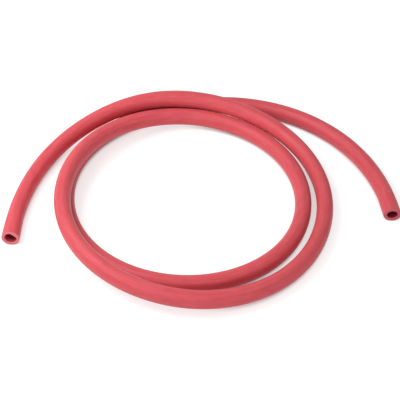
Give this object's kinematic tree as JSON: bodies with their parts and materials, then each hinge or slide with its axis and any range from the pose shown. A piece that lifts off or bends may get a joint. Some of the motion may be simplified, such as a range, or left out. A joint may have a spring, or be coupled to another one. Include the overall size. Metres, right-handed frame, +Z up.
{
  "type": "rubber gas tubing",
  "caption": "Length of plain red rubber gas hose with an open bore, cut square at both ends and lying in a loose coil. It pushes over the nozzles of a gas tap and a burner.",
  "frame": {"origin": "middle of the overall box, on the floor that the tubing lies on", "axes": "+Z up, +X to the right and -Y towards the viewer in the picture"},
  "size_m": [0.2681, 0.2096, 0.0259],
  "materials": {
    "red_rubber": "matte with a faint pale bloom"
  },
  "bodies": {
    "root": {"tube": "red_rubber"}
  },
  "joints": []
}
